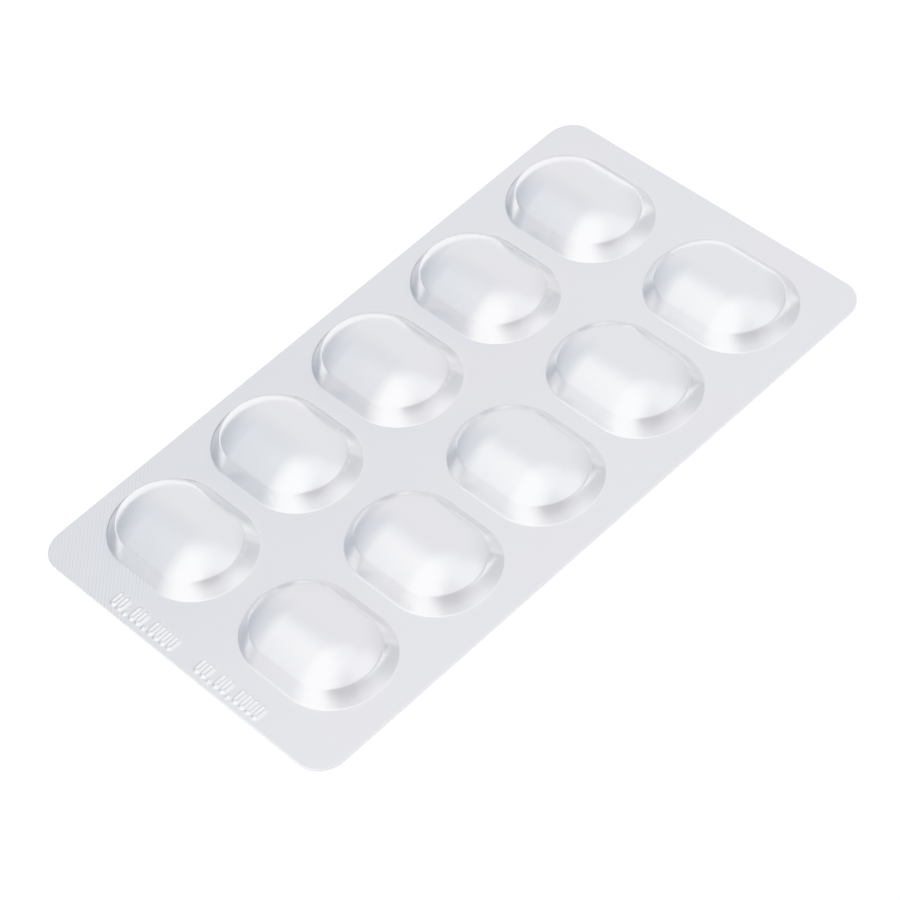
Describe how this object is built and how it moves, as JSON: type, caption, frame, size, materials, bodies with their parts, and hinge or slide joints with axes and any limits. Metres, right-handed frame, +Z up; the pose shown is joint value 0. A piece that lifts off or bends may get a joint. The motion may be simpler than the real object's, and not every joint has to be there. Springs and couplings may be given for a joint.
{
  "type": "pill blister pack",
  "caption": "Sealed foil blister pack: a thin flat card with rounded corners carrying two rows of oblong domed pockets that each hold one tablet.",
  "frame": {"origin": "middle of the card's flat underside", "axes": "+X along the card's long side, away from the end with the embossed codes; +Y across the card; +Z up out of the card, the way the pockets stand"},
  "size_m": [0.106, 0.06, 0.0045],
  "materials": {
    "foil": "satin"
  },
  "bodies": {
    "root": {"blister_pack": "foil"}
  },
  "joints": []
}
